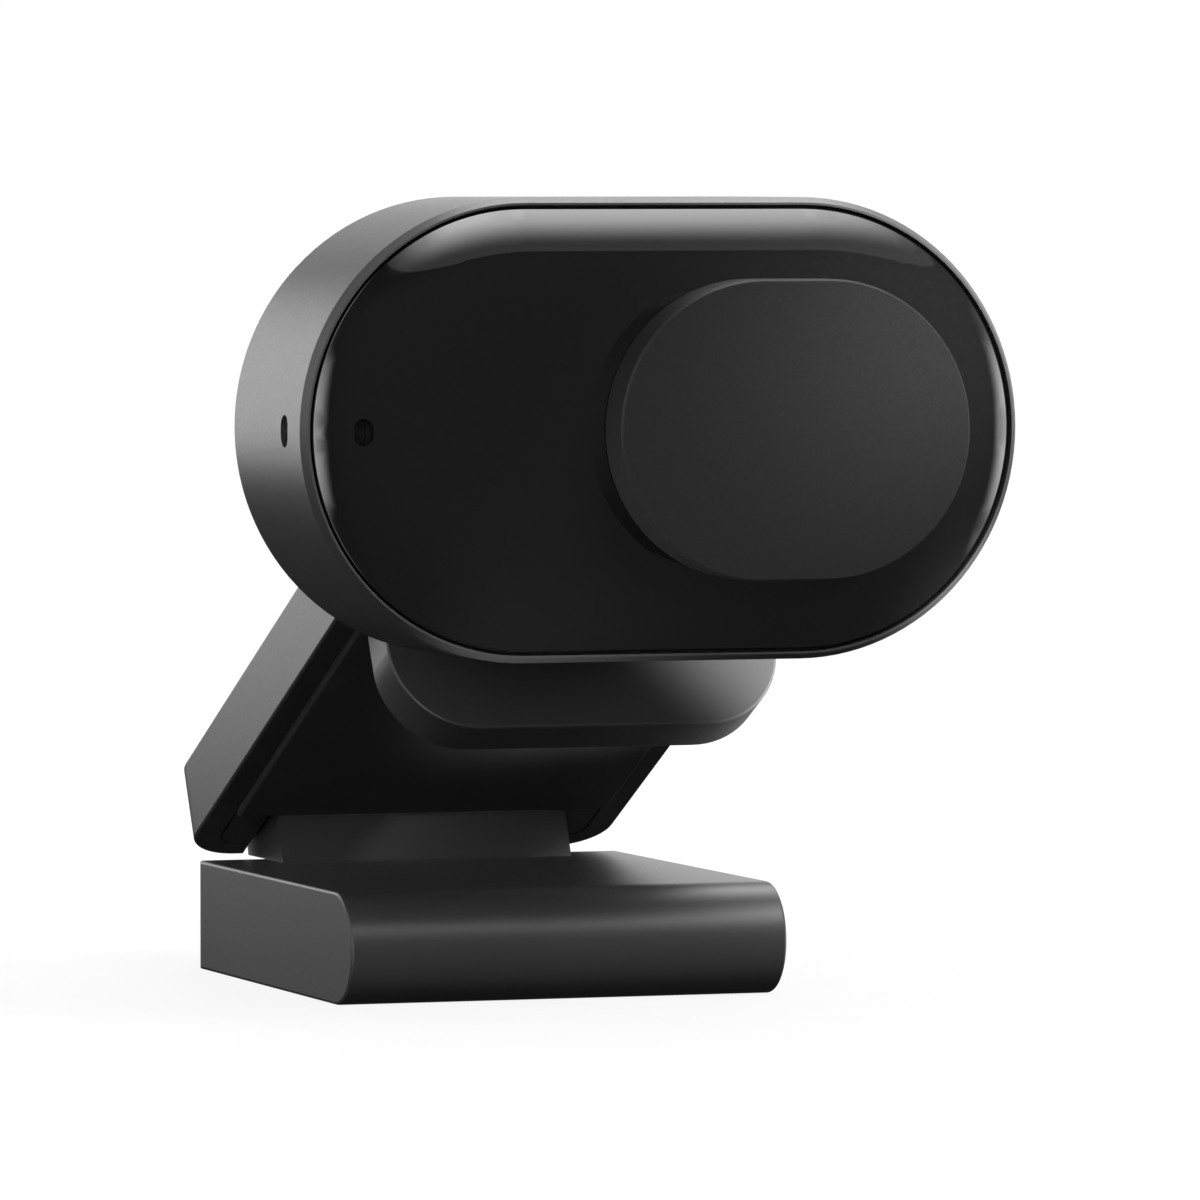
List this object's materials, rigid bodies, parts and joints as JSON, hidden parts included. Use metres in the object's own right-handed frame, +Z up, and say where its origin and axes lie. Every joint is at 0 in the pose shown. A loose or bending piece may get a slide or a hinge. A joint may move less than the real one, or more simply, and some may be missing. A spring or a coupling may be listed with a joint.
{
  "type": "webcam on folding clip",
  "caption": "Webcam with a pill-shaped head, glossy front and sliding lens shutter, tilting on a folding monitor clip that stands on its own foot.",
  "frame": {"origin": "centre of the foot's flat underside", "axes": "+Z up, -Y the way the camera looks, +X to the right of a viewer who faces the camera"},
  "size_m": [0.069, 0.0912, 0.0755],
  "materials": {
    "charcoal_plastic": "matte",
    "black_plastic": "matte",
    "gloss_panel": "gloss",
    "soft_touch": "matte",
    "rubber": "matte",
    "steel": "satin",
    "brass": "satin",
    "lens_glass": "polished",
    "clear_plastic": "gloss",
    "circuit_board": "satin",
    "aluminium": "satin"
  },
  "bodies": {
    "foot": {"foot_shell": "charcoal_plastic", "foot_base_plate": "black_plastic", "foot_pad": "rubber", "foot_ballast": "steel", "tripod_nut": "brass", "foot_screws": "steel", "hinge_bracket": "charcoal_plastic", "bracket_screws": "steel", "foot_hinge_pin": "steel", "foot_hinge_washers": "steel"},
    "clip": {"foot_hinge_bushes": "brass", "clip_plate": "charcoal_plastic", "clip_cover": "charcoal_plastic", "clip_pad": "rubber", "lip_pad": "rubber", "clip_screws": "steel", "tilt_pin": "steel", "tilt_washers": "steel"},
    "head": {"tilt_bush": "brass", "head_shell": "charcoal_plastic", "rear_cover": "charcoal_plastic", "rear_cover_screws": "steel", "cable_grommet": "rubber", "front_panel": "gloss_panel", "panel_gasket": "rubber", "lens_window": "lens_glass", "lens_barrel": "black_plastic", "front_lens": "lens_glass", "rear_lens": "lens_glass", "lens_holder": "black_plastic", "image_sensor": "circuit_board", "main_board": "circuit_board", "board_screws": "steel", "indicator_led": "clear_plastic", "light_pipe": "clear_plastic", "mic_gaskets": "rubber", "microphones": "aluminium", "mic_boards": "circuit_board", "cable_connector": "black_plastic", "heat_spreader": "aluminium"},
    "shutter": {"shutter_cover": "soft_touch", "shutter_runners": "black_plastic", "shutter_screws": "steel"}
  },
  "joints": [
    {"name": "clip_hinge", "type": "hinge", "parent": "foot", "child": "clip", "pos_m": [0, 0.0285, 0.01605], "axis": [-1, 0, 0], "range_deg": [-3, 95]},
    {"name": "head_tilt", "type": "hinge", "parent": "clip", "child": "head", "pos_m": [0, -0.02041, 0.04143], "axis": [-1, 0, 0], "range_deg": [-4, 42]},
    {"name": "shutter_slide", "type": "slide", "parent": "head", "child": "shutter", "axis": [-1, 0, 0], "range_m": [0, 0.0209]}
  ]
}
